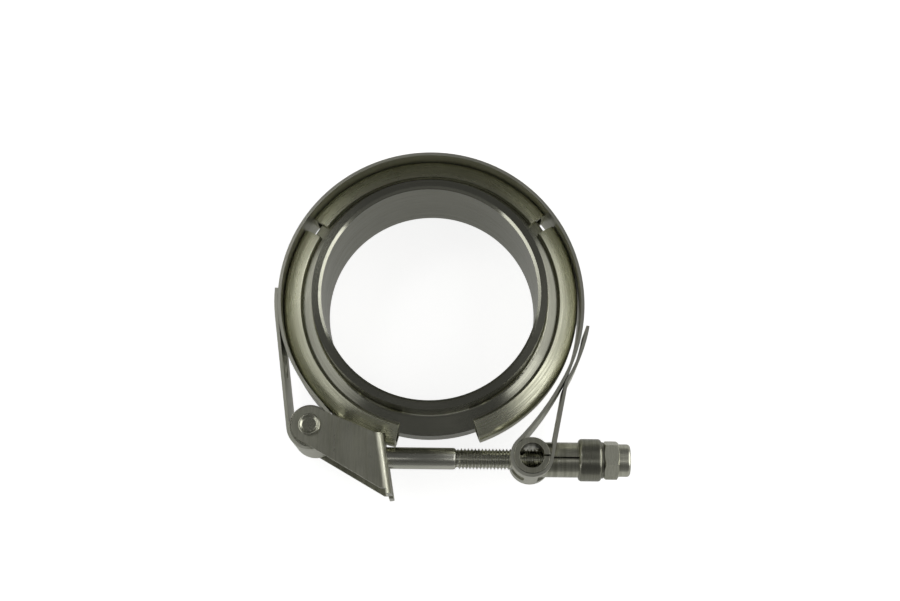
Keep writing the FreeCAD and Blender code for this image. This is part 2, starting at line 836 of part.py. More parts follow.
# --------------------------------------------------------------------------
# Build, check and write
# --------------------------------------------------------------------------
def build():
    """Make every sub-part and return them in order."""
    gap = size("gap_spread") / 2
    right, left = size("gap_right_angle"), size("gap_left_angle")
    return [
        flange("upper_flange", 1),
        flange("lower_flange", -1),
        vee_segment("vee_segment_back", right + gap, left - gap),
        vee_segment("vee_segment_left", left + gap, size("vee_left_end")),
        vee_segment("vee_segment_right", size("vee_right_end"), right - gap),
        strap(),
        latch_bracket(),
        latch_rivet(),
        latch_spacer(),
        saddle(),
        saddle_collar(),
        t_bolt(),
        lock_nut(),
        nut_insert(),
    ]


def check(parts):
    """Stop with a message if anything failed to build."""
    for obj in DOC.Objects:
        if "Invalid" in obj.State or "Error" in obj.State:
            raise RuntimeError("%s failed: %s" % (obj.Name, obj.State))
    for part in parts:
        shape = part.Shape
        if shape.isNull() or not shape.isValid() or not shape.Solids:
            raise RuntimeError("%s has no valid shape" % part.Label)


def main():
    """Build the clamp and write one file for each sub-part."""
    parts = build()
    DOC.recompute()
    check(parts)
    os.makedirs("parts", exist_ok=True)
    for part in parts:
        shape = part.Shape
        shape.exportStep("parts/%s.step" % part.Label)
        extent = shape.BoundBox
        print("%-20s solids %d  volume %9.1f  x %.2f..%.2f  y %.2f..%.2f  z %.2f..%.2f" % (
            part.Label, len(shape.Solids), shape.Volume,
            extent.XMin, extent.XMax, extent.YMin, extent.YMax, extent.ZMin, extent.ZMax))


main()
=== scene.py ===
"""A quick-release V band clamp on its two weld flanges, dressed for a studio view.

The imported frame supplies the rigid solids.  This file eases their cut edges, gives each
part the finish its steel was made with, and rolls a real thread on the T-bolt.  Sizes
are in millimetres and become metres where a mesh or a node takes them.
"""

import json
import logging
import math
from dataclasses import dataclass
from enum import Enum
from typing import Any, Callable, ClassVar, Sequence

import bmesh
import bpy
from mathutils import Matrix, Vector

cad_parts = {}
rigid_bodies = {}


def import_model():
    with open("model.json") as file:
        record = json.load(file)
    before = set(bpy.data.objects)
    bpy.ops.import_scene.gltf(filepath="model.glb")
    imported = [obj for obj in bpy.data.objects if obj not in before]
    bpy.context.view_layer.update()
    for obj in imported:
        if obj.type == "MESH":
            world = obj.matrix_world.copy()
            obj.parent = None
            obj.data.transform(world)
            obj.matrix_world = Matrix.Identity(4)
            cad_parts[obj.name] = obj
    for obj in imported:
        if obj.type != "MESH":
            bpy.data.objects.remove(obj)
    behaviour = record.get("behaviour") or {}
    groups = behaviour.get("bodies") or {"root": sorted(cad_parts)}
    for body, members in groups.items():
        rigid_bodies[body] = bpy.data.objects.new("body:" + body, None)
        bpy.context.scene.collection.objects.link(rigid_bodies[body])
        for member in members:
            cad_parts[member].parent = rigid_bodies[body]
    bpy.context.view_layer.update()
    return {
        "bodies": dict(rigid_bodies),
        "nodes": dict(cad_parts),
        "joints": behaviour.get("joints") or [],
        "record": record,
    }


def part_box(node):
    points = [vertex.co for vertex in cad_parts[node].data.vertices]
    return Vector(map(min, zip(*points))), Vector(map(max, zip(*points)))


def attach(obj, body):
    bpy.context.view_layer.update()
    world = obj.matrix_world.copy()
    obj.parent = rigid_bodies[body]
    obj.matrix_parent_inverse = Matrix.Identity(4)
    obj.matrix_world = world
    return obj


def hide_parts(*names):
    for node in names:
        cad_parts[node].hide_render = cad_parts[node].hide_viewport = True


LOG = logging.getLogger("v_band_clamp")
MM = 0.001
BOLT_LINE_Y = -45.35
MERGE_REACH = 0.0005
FLAT_ANGLE = 0.4
EDGE_STEPS = 2


class Grain(Enum):
    """Which way the fine lines of a finish run."""

    TURNED = "round the pipe axis, one line for each radius and height"
    ROLLED = "round the pipe axis, broken into streaks"
    STRIP = "along the bent strip, one line for each height"
    DRAWN = "along the bolt"
    FACED = "round the bolt, as a lathe leaves them"
    UPRIGHT = "across the bolt, over the blank and down its folds"
    TUMBLED = "no way at all"


def linear(code: str) -> tuple[float, float, float, float]:
    """Turn an sRGB hex colour into the linear values that nodes take.

    Args:
        code: six hex digits, with or without a leading hash.

    Returns:
        Linear red, green, blue and an alpha of one.
    """
    digits = code.lstrip("#")
    values = [int(digits[i:i + 2], 16) / 255 for i in (0, 2, 4)]
    red, green, blue = (
        v / 12.92 if v <= 0.04045 else ((v + 0.055) / 1.055) ** 2.4 for v in values)
    return red, green, blue, 1.0


def add(tree: bpy.types.NodeTree, kind: str, inputs: dict[Any, Any] | None = None,
        **settings: Any) -> bpy.types.Node:
    """Add one node with its settings, values and links.

    Args:
        tree: the node tree that gets the node.
        kind: the node's type name.
        inputs: socket name or index to a value, or to the output socket that feeds it.
        settings: the node's own properties.

    Returns:
        The new node.
    """
    node = tree.nodes.new(kind)
    for name, value in settings.items():
        setattr(node, name, value)
    for key, value in (inputs or {}).items():
        if isinstance(value, bpy.types.NodeSocket):
            tree.links.new(value, node.inputs[key])
        else:
            node.inputs[key].default_value = value
    return node


@dataclass(frozen=True)
class SteelFinish:
    """Stainless steel with the lines that its making leaves.

    Austenitic stainless is a pale, slightly warm grey metal.  Sheet and bar differ in
    how long their lines are and in how sharply they mirror what stands around them.
    Lengths are in millimetres.

    Attributes:
        name: the material's name.
        bright: colour on the lands between the lines.
        dull: colour in the lines and where hands have worn the metal.
        grain: which way the lines run.
        line_width: how wide one line is.
        line_length: how long one line is.
        roughness: how much a reflection blurs, from 0 to 1.
        spread: how far the roughness wanders to either side.
        depth: how deep the lines are.
        stretch: how much the lines draw a highlight out, from 0 to 1.
        centre: a point on the axis that the lines go round.
    """

    name: str
    bright: str
    dull: str
    grain: Grain
    line_width: float
    line_length: float
    roughness: float
    spread: float
    depth: float
    stretch: float = 0.0
    centre: tuple[float, float, float] = (0.0, 0.0, 0.0)

    CLOUD_SIZE: ClassVar[float] = 9.0
    SPECK_SIZE: ClassVar[float] = 2.2
    SPECK_SHARE: ClassVar[float] = 0.22
    CLOUD_SHARE: ClassVar[float] = 0.9
    LEAST_ROUGHNESS: ClassVar[float] = 0.04
    STRAIGHT_GROOVES: ClassVar[dict[Grain, tuple[float, float, float]]] = {
        Grain.STRIP: (0.7, 0.7, 0.02),
        Grain.DRAWN: (1.0, 0.02, 0.01),
        Grain.UPRIGHT: (0.05, 0.9, 0.4),
    }

    def material(self) -> bpy.types.Material:
        """Build the node material of this finish.

        Returns:
            The finished material.
        """
        material = bpy.data.materials.new(self.name)
        material.use_nodes = True
        tree = material.node_tree
        tree.nodes.clear()
        lines = self._lines(tree)
        place = add(tree, "ShaderNodeTexCoord").outputs["Object"]
        handling = add(tree, "ShaderNodeTexNoise", {
            "Vector": place, "Scale": 1 / (self.CLOUD_SIZE * MM), "Detail": 4.0,
            "Roughness": 0.62})
        grime = add(tree, "ShaderNodeTexNoise", {
            "Vector": place, "Scale": 1 / (self.SPECK_SIZE * MM), "Detail": 3.0,
            "Roughness": 0.7})
        cloud = add(tree, "ShaderNodeMapRange", {
            "Value": handling.outputs["Fac"], "From Min": 0.35, "From Max": 0.68})
        speck = add(tree, "ShaderNodeMapRange", {
            "Value": grime.outputs["Fac"], "From Min": 0.56, "From Max": 0.74})
        # The Mix node's colour sockets share their names with its number sockets,
        # so they are set by place: 0 is the share, 6 and 7 the two colours.
        tone = add(tree, "ShaderNodeMix", {
            0: lines, 6: linear(self.dull), 7: linear(self.bright)}, data_type="RGBA")
        thin = add(tree, "ShaderNodeMath", {
            0: speck.outputs["Result"], 1: self.SPECK_SHARE}, operation="MULTIPLY")
        worn = add(tree, "ShaderNodeMix", {
            0: thin.outputs[0], 6: tone.outputs[2], 7: linear(self.dull)},
            data_type="RGBA")
        rough = add(tree, "ShaderNodeMapRange", {
            "Value": lines, "To Min": self.roughness + self.spread,
            "To Max": max(self.roughness - self.spread, self.LEAST_ROUGHNESS)})
        smudge = add(tree, "ShaderNodeMath", {
            0: cloud.outputs["Result"], 1: self.spread * self.CLOUD_SHARE,
            2: rough.outputs["Result"]}, operation="MULTIPLY_ADD")
        bump = add(tree, "ShaderNodeBump", {
            "Height": lines, "Distance": self.depth * MM, "Strength": 1.0})
        steel = add(tree, "ShaderNodeBsdfPrincipled", {
            "Base Color": worn.outputs[2], "Metallic": 1.0,
            "Roughness": smudge.outputs[0], "Normal": bump.outputs["Normal"],
            "Anisotropic": self.stretch})
        if self.stretch > 0:
            tree.links.new(self._scatter(tree), steel.inputs["Tangent"])
        add(tree, "ShaderNodeOutputMaterial", {"Surface": steel.outputs["BSDF"]})
        return material

    def _local(self, tree: bpy.types.NodeTree) -> Any:
        """Add the nodes that give X, Y and Z from the finish's own centre.

        Args:
            tree: the material's node tree.

        Returns:
            The three sockets, in that order.
        """
        place = add(tree, "ShaderNodeTexCoord").outputs["Object"]
        local = add(tree, "ShaderNodeMapping", {
            "Vector": place,
            "Location": tuple(-v * MM for v in self.centre)}).outputs["Vector"]
        return add(tree, "ShaderNodeSeparateXYZ", {"Vector": local}).outputs

    def _scatter(self, tree: bpy.types.NodeTree) -> bpy.types.NodeSocket:
        """Add the direction in which the grain spreads a highlight.

        Fine grooves spread light across themselves, so the direction is square to the
        groove and lies in the surface.

        Args:
            tree: the material's node tree.

        Returns:
            The vector socket of that direction.
        """
        if self.grain in (Grain.TURNED, Grain.ROLLED):
            axes = self._local(tree)
            back = add(tree, "ShaderNodeMath", {0: axes[1], 1: -1.0},
                       operation="MULTIPLY")
            groove = add(tree, "ShaderNodeCombineXYZ", {
                0: back.outputs[0], 1: axes[0]}).outputs[0]
        elif self.grain is Grain.FACED:
            axes = self._local(tree)
            back = add(tree, "ShaderNodeMath", {0: axes[2], 1: -1.0},
                       operation="MULTIPLY")
            groove = add(tree, "ShaderNodeCombineXYZ", {
                1: back.outputs[0], 2: axes[1]}).outputs[0]
        else:
            way = self.STRAIGHT_GROOVES[self.grain]
            groove = add(tree, "ShaderNodeCombineXYZ", dict(enumerate(way))).outputs[0]
        normal = add(tree, "ShaderNodeNewGeometry").outputs["Normal"]
        return add(tree, "ShaderNodeVectorMath", {0: normal, 1: groove},
                   operation="CROSS_PRODUCT").outputs["Vector"]

    def _lines(self, tree: bpy.types.NodeTree) -> bpy.types.NodeSocket:
        """Add the nodes that draw the lines of the grain.

        Args:
            tree: the material's node tree.

        Returns:
            The socket that carries the lines, from 0 to 1.
        """
        width, length = 1 / (self.line_width * MM), 1 / (self.line_length * MM)
        axes = self._local(tree)
        if self.grain in (Grain.TURNED, Grain.ROLLED, Grain.FACED):
            across, around, along = (
                (axes[1], axes[2], axes[0]) if self.grain is Grain.FACED
                else (axes[0], axes[1], axes[2]))
            flat = add(tree, "ShaderNodeCombineXYZ", {0: across, 1: around})
            radius = add(tree, "ShaderNodeVectorMath", {0: flat.outputs[0]},
                         operation="LENGTH").outputs["Value"]
            angle = add(tree, "ShaderNodeMath", {0: around, 1: across},
                        operation="ARCTAN2").outputs[0]
            scaled = self._scaled(tree, (radius, width), (along, width),
                                  (angle, self._turn_scale()))
        else:
            scales = {
                Grain.STRIP: (length, length, width),
                Grain.DRAWN: (length, width, width),
                Grain.UPRIGHT: (width, length, length),
                Grain.TUMBLED: (width, width, width),
            }[self.grain]
            scaled = self._scaled(tree, *zip(axes, scales))
        noise = add(tree, "ShaderNodeTexNoise", {
            "Vector": scaled, "Scale": 1.0, "Detail": 3.0, "Roughness": 0.6})
        return add(tree, "ShaderNodeMapRange", {
            "Value": noise.outputs["Fac"], "From Min": 0.3,
            "From Max": 0.7}).outputs["Result"]

    def _turn_scale(self) -> float:
        """Steps of the pattern for each radian round the axis."""
        return {Grain.TURNED: 0.5, Grain.FACED: 0.8}.get(
            self.grain, 40.0 / self.line_length)

    @staticmethod
    def _scaled(tree: bpy.types.NodeTree,
                *pairs: tuple[bpy.types.NodeSocket, float]) -> bpy.types.NodeSocket:
        """Multiply each coordinate by its own scale and join them.

        Args:
            tree: the material's node tree.
            pairs: each coordinate with its scale.

        Returns:
            The vector socket.
        """
        parts = {}
        for index, (socket, scale) in enumerate(pairs):
            parts[index] = add(tree, "ShaderNodeMath", {0: socket, 1: scale},
                               operation="MULTIPLY").outputs[0]
        return add(tree, "ShaderNodeCombineXYZ", parts).outputs[0]


@dataclass(frozen=True)
class NylonFinish:
    """Natural nylon, moulded: a milky white that lets some light in.

    Attributes:
        name: the material's name.
        colour: the nylon's own colour.
        shade: the colour of its cloudier parts.
        roughness: how much a reflection blurs, from 0 to 1.
        cloud_size: how large the clouds are, in millimetres.
    """

    name: str = "moulded natural nylon"
    colour: str = "#E4E1D2"
    shade: str = "#CBC7B4"
    roughness: float = 0.42
    cloud_size: float = 1.6

    def material(self) -> bpy.types.Material:
        """Build the node material of this finish.

        Returns:
            The finished material.
        """
        material = bpy.data.materials.new(self.name)
        material.use_nodes = True
        tree = material.node_tree
        tree.nodes.clear()
        place = add(tree, "ShaderNodeTexCoord").outputs["Object"]
        milk = add(tree, "ShaderNodeTexNoise", {
            "Vector": place, "Scale": 1 / (self.cloud_size * MM), "Detail": 2.0})
        tone = add(tree, "ShaderNodeMix", {
            0: milk.outputs["Fac"], 6: linear(self.shade), 7: linear(self.colour)},
            data_type="RGBA")
        bump = add(tree, "ShaderNodeBump", {
            "Height": milk.outputs["Fac"], "Distance": 0.02 * MM})
        nylon = add(tree, "ShaderNodeBsdfPrincipled", {
            "Base Color": tone.outputs[2], "Roughness": self.roughness,
            "Subsurface Weight": 0.15, "Subsurface Scale": 0.6 * MM,
            "Normal": bump.outputs["Normal"]})
        add(tree, "ShaderNodeOutputMaterial", {"Surface": nylon.outputs["BSDF"]})
        return material


# Turned flanges: fine lathe rings draw a soft mirror out across themselves.
TURNED_STEEL = SteelFinish(
    "turned stainless steel", "#A9A99B", "#949487", Grain.TURNED, line_width=0.35,
    line_length=40.0, roughness=0.2, spread=0.04, depth=0.0012, stretch=0.75)
# Roll-formed V segments: bright sheet whose rolling lines follow the ring.
FORMED_STEEL = SteelFinish(
    "roll formed stainless sheet", "#D6D6C0", "#BDBDA7", Grain.ROLLED, line_width=0.5,
    line_length=16.0, roughness=0.27, spread=0.04, depth=0.0012, stretch=0.6)
# Strap: bright-annealed strip with long straight lines from the rolling mill.
STRAP_STEEL = SteelFinish(
    "bright rolled stainless strip", "#D4D4C6", "#BDBDAE", Grain.STRIP, line_width=0.4,
    line_length=30.0, roughness=0.34, spread=0.04, depth=0.0012, stretch=0.4)
# Latch and saddle: brushed sheet, blanked and folded, with broad soft streaks.
FOLDED_STEEL = SteelFinish(
    "folded stainless sheet", "#C4C4B4", "#959585", Grain.UPRIGHT, line_width=1.2,
    line_length=18.0, roughness=0.3, spread=0.05, depth=0.0015, stretch=0.4)
# Rivet and spacer: tumbled smooth after heading, so no line runs any way.
TUMBLED_STEEL = SteelFinish(
    "tumbled stainless rivet", "#B6B6A5", "#98988A", Grain.TUMBLED, line_width=0.9,
    line_length=0.9, roughness=0.26, spread=0.05, depth=0.003)
# Bolt: cold-drawn bar, a bright mirror line along its length.
DRAWN_STEEL = SteelFinish(
    "cold drawn stainless bar", "#D6D6CA", "#BABAAE", Grain.DRAWN, line_width=0.5,
    line_length=22.0, roughness=0.22, spread=0.05, depth=0.0012, stretch=0.3)
# Nut: turned from bar, fine rings round the bolt's line.
FACED_STEEL = SteelFinish(
    "machined stainless hardware", "#D2D2C2", "#B9B9A9", Grain.FACED, line_width=0.4,
    line_length=12.0, roughness=0.3, spread=0.05, depth=0.0012, stretch=0.6,
    centre=(0.0, BOLT_LINE_Y, 0.0))
# Collar: the same turned bar as the nut, its colours darkened as painted shade.
SHADED_HARDWARE_STEEL = SteelFinish(
    "shade-painted turned stainless", "#969688", "#808074", Grain.FACED, line_width=0.4,
    line_length=12.0, roughness=0.3, spread=0.05, depth=0.0012, stretch=0.5,
    centre=(0.0, BOLT_LINE_Y, 0.0))
# Nut's ring: milky plastic that glows a little beside the steel.
NYLON = NylonFinish()


class Finishes:
    """The materials of the whole clamp, each built once and shared."""

    def __init__(self) -> None:
        """Start with nothing built."""
        self._built: dict[str, bpy.types.Material] = {}

    def of(self, finish: SteelFinish | NylonFinish) -> bpy.types.Material:
        """Return the material of a finish, building it the first time.

        Args:
            finish: the finish that is wanted.

        Returns:
            Its one shared material.
        """
        if finish.name not in self._built:
            self._built[finish.name] = finish.material()
        return self._built[finish.name]


def dress(piece: bpy.types.Object, material: bpy.types.Material) -> None:
    """Give a piece one material and no other.

    Args:
        piece: the piece that is dressed.
        material: the material that it gets.
    """
    piece.data.materials.clear()
    piece.data.materials.append(material)


def new_piece(name: str, mesh: bpy.types.Mesh) -> bpy.types.Object:
    """Link a mesh into the scene as an object at the origin.

    Args:
        name: the new object's name.
        mesh: its mesh.

    Returns:
        The new object.
    """
    piece = bpy.data.objects.new(name, mesh)
    bpy.context.scene.collection.objects.link(piece)
    return piece


def settled(piece: bpy.types.Object) -> bpy.types.Object:
    """Turn a piece with live modifiers into a plain mesh.

    Args:
        piece: the object whose modifiers are ready.

    Returns:
        The same object, with its result as its mesh and no modifier left.
    """
    bpy.context.view_layer.update()
    seen = piece.evaluated_get(bpy.context.evaluated_depsgraph_get())
    mesh = bpy.data.meshes.new_from_object(seen)
    piece.modifiers.clear()
    piece.data = mesh
    return piece


def eased(source: bpy.types.Object, name: str, width: float,
          limit: float = 32.0) -> bpy.types.Object:
    """Copy a rigid solid and take the sharpness off its cut edges.

    Args:
        source: the solid from the frame, which is left alone.
        name: the new piece's name.
        width: how much of the edge is taken off, in millimetres.
        limit: edges sharper than this many degrees are eased.

    Returns:
        The eased copy, smooth between its edges.
    """
    form = bmesh.new()
    form.from_mesh(source.data)
    bmesh.ops.remove_doubles(form, verts=form.verts, dist=MERGE_REACH * MM)
    bmesh.ops.dissolve_limit(form, verts=form.verts, edges=form.edges,
                             angle_limit=math.radians(FLAT_ANGLE))
    mesh = bpy.data.meshes.new(name)
    form.to_mesh(mesh)
    form.free()
    piece = new_piece(name, mesh)
    bevel = piece.modifiers.new("eased edge", "BEVEL")
    bevel.limit_method = "ANGLE"
    bevel.angle_limit = math.radians(limit)
    bevel.width = width * MM
    bevel.segments = EDGE_STEPS
    bevel.use_clamp_overlap = True
    settled(piece)
    piece.data.polygons.foreach_set("use_smooth", [True] * len(piece.data.polygons))
    piece.data.set_sharp_from_angle(angle=math.radians(limit))
    level = piece.modifiers.new("level faces", "WEIGHTED_NORMAL")
    level.mode = "FACE_AREA"
    level.keep_sharp = True
    return settled(piece)


@dataclass
class Part:
    """What every sub-assembly of the clamp shares.

    Attributes:
        frame: the loaded frame.
        finishes: the shared materials.
        body: the moving body that the sub-assembly rides on.
    """

    frame: dict[str, Any]
    finishes: Finishes
    body: str

    def ease(self, node: str, width: float, finish: SteelFinish | NylonFinish,
             slot: str, limit: float = 32.0) -> bpy.types.Object:
        """Replace a solid by its eased and dressed copy.

        Args:
            node: the solid's name.
            width: size of the eased edge in millimetres.
            finish: the finish it gets.
            slot: the record's material slot; not used.
            limit: edges sharper than this many degrees are eased.

        Returns:
            The new piece.
        """
        piece = eased(self.frame["nodes"][node], f"{node}_eased", width, limit)
        dress(piece, self.finishes.of(finish))
        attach(piece, self.body)
        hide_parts(node)
        LOG.info("%s: %d faces", piece.name, len(piece.data.polygons))
        return piece


@dataclass
class FlangePair(Part):
    """The two turned weld flanges, mouth to mouth inside the ring."""

    edge: float = 0.15
    sharpest: float = 20.0

    def build(self) -> None:
        """Ease and dress both flanges."""
        for node in ("upper_flange", "lower_flange"):
            self.ease(node, self.edge, TURNED_STEEL, "turned_stainless",
                      self.sharpest)


@dataclass
class RingBand(Part):
    """The strap and the three V segments spot-welded inside it."""

    strap_edge: float = 0.18
    segment_edge: float = 0.2

    def build(self) -> None:
        """Ease and dress the strap and the segments."""
        for side in ("back", "left", "right"):
            self.ease(f"vee_segment_{side}", self.segment_edge, FORMED_STEEL,
                      "formed_stainless")
        self.ease("strap", self.strap_edge, STRAP_STEEL, "strap_stainless")


@dataclass
class Latch(Part):
    """The folded latch with the rivet that it turns on."""

    sheet_edge: float = 0.22
    rivet_edge: float = 0.15
    rivet_sharpest: float = 25.0

    def build(self) -> None:
        """Ease and dress the latch, its rivet and its spacer."""
        self.ease("latch_bracket", self.sheet_edge, FOLDED_STEEL, "formed_stainless")
        self.ease("latch_rivet", self.rivet_edge, TUMBLED_STEEL, "rivet_stainless",
                  self.rivet_sharpest)
        self.ease("latch_spacer", self.rivet_edge, TUMBLED_STEEL, "rivet_stainless")


@dataclass
class Saddle(Part):
    """The folded saddle that turns in the strap's right loop, with its collar."""

    sheet_edge: float = 0.18
    collar_edge: float = 0.2
    collar_sharpest: float = 25.0

    def build(self) -> None:
        """Ease and dress the saddle and the collar."""
        self.ease("saddle", self.sheet_edge, FOLDED_STEEL, "formed_stainless")
        # The collar takes a darker copy of the nut's finish: painted shade.
        self.ease("saddle_collar", self.collar_edge, SHADED_HARDWARE_STEEL, "hardware_stainless",
                  self.collar_sharpest)


@dataclass
class LockNut(Part):
    """The prevailing-torque nut with its nylon ring."""

    edge: float = 0.1
    nut_sharpest: float = 20.0

    def build(self) -> None:
        """Ease and dress the nut and the ring."""
        self.ease("lock_nut", self.edge, FACED_STEEL, "hardware_stainless",
                  self.nut_sharpest)
        self.ease("nut_insert", self.edge, NYLON, "nylon")


@dataclass
class TeeBolt(Part):
    """The T-bolt: cross head, plain shank and a rolled M6 thread.

    Sizes are in millimetres.  The core runs under the thread at the root's radius, and
    the ridge's foot is sunk a little into it.
    """

    shank_radius: float = 3.1
    major_radius: float = 2.98
    root_radius: float = 2.46
    thread_start: float = 7.8
    run_in: float = 0.5
    bolt_point: float = 0.7
    pitch: float = 1.0
    crest_flat: float = 0.13
    root_flat: float = 0.25
    head_radius: float = 3.2
    head_chamfer: float = 0.6
    groove: float = 0.2
    foot_sink: float = 0.04
    fade_share: float = 0.02
    fade_least: float = 0.05
    sharpest: float = 28.0
    around: int = 48
    turn_steps: int = 32

    def build(self) -> None:
        """Build the bolt's one piece and put it in the solid's place."""
        low, high = (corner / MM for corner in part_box("t_bolt"))
        line_y = (low.y + high.y) / 2
        line_x = low.x + self.head_radius
        form = bmesh.new()
        self._lathe(form, self._shank_profile(line_x, high.x),
                    lambda along, up, side: Vector((along, line_y + up, side)))
        self._lathe(form, self._head_profile(low.z, high.z),
                    lambda along, out, side: Vector((line_x + out, line_y + side, along)))
        mesh = bpy.data.meshes.new("t_bolt_shank")
        form.to_mesh(mesh)
        form.free()
        shank = new_piece("t_bolt_threaded", mesh)
        ridge = self._ridge(high.x - self.bolt_point * 0.5, line_y)
        self._join(shank, ridge)
        shank.data.polygons.foreach_set("use_smooth", [True] * len(shank.data.polygons))
        shank.data.set_sharp_from_angle(angle=math.radians(self.sharpest))
        dress(shank, self.finishes.of(DRAWN_STEEL))
        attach(shank, self.body)
        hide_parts("t_bolt")
        LOG.info("%s: %d faces", shank.name, len(shank.data.polygons))

    def _shank_profile(self, start: float, end: float) -> list[tuple[float, float]]:
        """List places and radii from the head's middle to the bolt's point.

        Args:
            start: where the shank begins along the bolt.
            end: where the bolt ends.

        Returns:
            Pairs of place along the bolt and radius there.
        """
        half_run, point = self.run_in * 0.5, self.bolt_point * 0.4
        return [
            (start, 0.0), (start, self.shank_radius),
            (self.thread_start - self.run_in, self.shank_radius),
            (self.thread_start, self.shank_radius - half_run),
            (self.thread_start + self.groove, self.root_radius),
            (end - point, self.root_radius), (end, self.root_radius - point),
            (end, 0.0)]

    def _head_profile(self, low: float, high: float) -> list[tuple[float, float]]:
        """List heights and radii of the cross head, a short chamfered bar.

        Args:
            low: the height of its lower end.
            high: the height of its upper end.

        Returns:
            Pairs of height and radius there.
        """
        radius, chamfer = self.head_radius, self.head_chamfer
        return [(low, 0.0), (low, radius - chamfer), (low + chamfer, radius),
                (high - chamfer, radius), (high, radius - chamfer), (high, 0.0)]

    def _lathe(self, form: bmesh.types.BMesh, profile: Sequence[tuple[float, float]],
               point: Callable[[float, float, float], Vector]) -> None:
        """Turn a profile round a line into the form.

        Args:
            form: the mesh that gets the faces.
            profile: pairs of place along the line and radius, closed at both ends.
            point: the point for a place along the line and two distances off it.
        """
        rings = []
        for along, radius in profile:
            turns = self._turns() if radius else [0.0]
            rings.append([
                form.verts.new(point(along, radius * math.cos(turn),
                                     radius * math.sin(turn)) * MM)
                for turn in turns])
        self._skin(form, rings)

    def _turns(self) -> list[float]:
        """List the angles of the points round one ring."""
        return [2 * math.pi * step / self.around for step in range(self.around)]

    @staticmethod
    def _skin(form: bmesh.types.BMesh, rings: Sequence[Sequence[Any]]) -> None:
        """Join rings of points by faces that point outwards.

        Args:
            form: the mesh that holds the points and gets the faces.
            rings: the rings in their order; a ring of one point closes an end.
        """
        for first, second in zip(rings, rings[1:]):
            count = max(len(first), len(second))
            for step in range(count):
                after = (step + 1) % count
                corners = [first[step % len(first)], first[after % len(first)],
                           second[after % len(second)], second[step % len(second)]]
                form.faces.new(list(dict.fromkeys(corners)))
        bmesh.ops.recalc_face_normals(form, faces=form.faces)

    def _ridge(self, end: float, line_y: float) -> bpy.types.Object:
        """Sweep the thread's ridge along its helix with Geometry Nodes.

        Args:
            end: where the thread ends along the bolt, in millimetres.
            line_y: where the bolt's line lies.

        Returns:
            The ridge as a plain mesh object.
        """
        tree = bpy.data.node_groups.new("rolled thread", "GeometryNodeTree")
        tree.is_modifier = True
        face = tree.interface
        face.new_socket("Geometry", in_out="OUTPUT", socket_type="NodeSocketGeometry")
        sizes = {
            "Pitch": self.pitch * MM, "Length": (end - self.thread_start) * MM,
            "Root Radius": (self.root_radius - self.foot_sink) * MM,
            "Major Radius": self.major_radius * MM,
            "Crest Flat": self.crest_flat * MM, "Root Flat": self.root_flat * MM,
            "Start": self.thread_start * MM, "Line Y": line_y * MM,
        }
        for name, value in sizes.items():
            face.new_socket(name, in_out="INPUT",
                            socket_type="NodeSocketFloat").default_value = value
        face.new_socket("Finish", in_out="INPUT", socket_type="NodeSocketMaterial")
        given = add(tree, "NodeGroupInput").outputs
        turns = self._number(tree, "DIVIDE", given["Length"], given["Pitch"])
        helix = add(tree, "GeometryNodeCurveSpiral", {
            "Resolution": self.turn_steps, "Rotations": turns,
            "Start Radius": given["Root Radius"], "End Radius": given["Root Radius"],
            "Height": given["Length"]})
        upright = add(tree, "GeometryNodeSetCurveNormal", {"Curve": helix.outputs[0]},
                      mode="Z_UP")
        outline = self._profile(tree, given)
        spline = add(tree, "GeometryNodeSplineParameter").outputs["Factor"]
        fade = add(tree, "ShaderNodeMapRange", {
            "Value": spline, "From Max": self.fade_share,
            "To Min": self.fade_least}).outputs["Result"]
        swept = add(tree, "GeometryNodeCurveToMesh", {
            "Curve": upright.outputs[0], "Profile Curve": outline, "Scale": fade,
            "Fill Caps": True})
        offset = add(tree, "ShaderNodeCombineXYZ", {
            "X": given["Start"], "Y": given["Line Y"]})
        laid = add(tree, "GeometryNodeTransform", {
            "Geometry": swept.outputs[0], "Rotation": (0.0, math.pi / 2, 0.0),
            "Translation": offset.outputs[0]})
        real = add(tree, "GeometryNodeRealizeInstances", {"Geometry": laid.outputs[0]})
        dressed = add(tree, "GeometryNodeSetMaterial", {
            "Geometry": real.outputs[0], "Material": given["Finish"]})
        add(tree, "NodeGroupOutput", {"Geometry": dressed.outputs[0]})
        ridge = new_piece("thread_ridge", bpy.data.meshes.new("thread_ridge"))
        modifier = ridge.modifiers.new("rolled thread", "NODES")
        modifier.node_group = tree
        keys = {item.name: item.identifier for item in face.items_tree
                if item.in_out == "INPUT"}
        for name, value in sizes.items():
            modifier[keys[name]] = value
        modifier[keys["Finish"]] = self.finishes.of(DRAWN_STEEL)
        return settled(ridge)

    def _profile(self, tree: bpy.types.NodeTree,
                 given: Any) -> bpy.types.NodeSocket:
        """Add the ridge's outline, a four-sided curve with its foot on the helix.

        Args:
            tree: the thread's node tree.
            given: the sockets of its named inputs.

        Returns:
            The socket of the outline.
        """
        height = self._number(tree, "SUBTRACT", given["Major Radius"],
                              given["Root Radius"])
        foot = self._number(tree, "SUBTRACT", given["Pitch"], given["Root Flat"])
        quad = add(tree, "GeometryNodeCurvePrimitiveQuadrilateral", {
            "Height": height, "Bottom Width": foot, "Top Width": given["Crest Flat"],
            "Offset": 0.0}, mode="TRAPEZOID")
        lift = add(tree, "ShaderNodeCombineXYZ", {
            "Y": self._number(tree, "MULTIPLY", height, 0.5)})
        raised = add(tree, "GeometryNodeTransform", {
            "Geometry": quad.outputs[0], "Translation": lift.outputs[0]})
        turned = add(tree, "GeometryNodeTransform", {
            "Geometry": raised.outputs[0], "Rotation": (0.0, 0.0, math.pi / 2)})
        return turned.outputs[0]

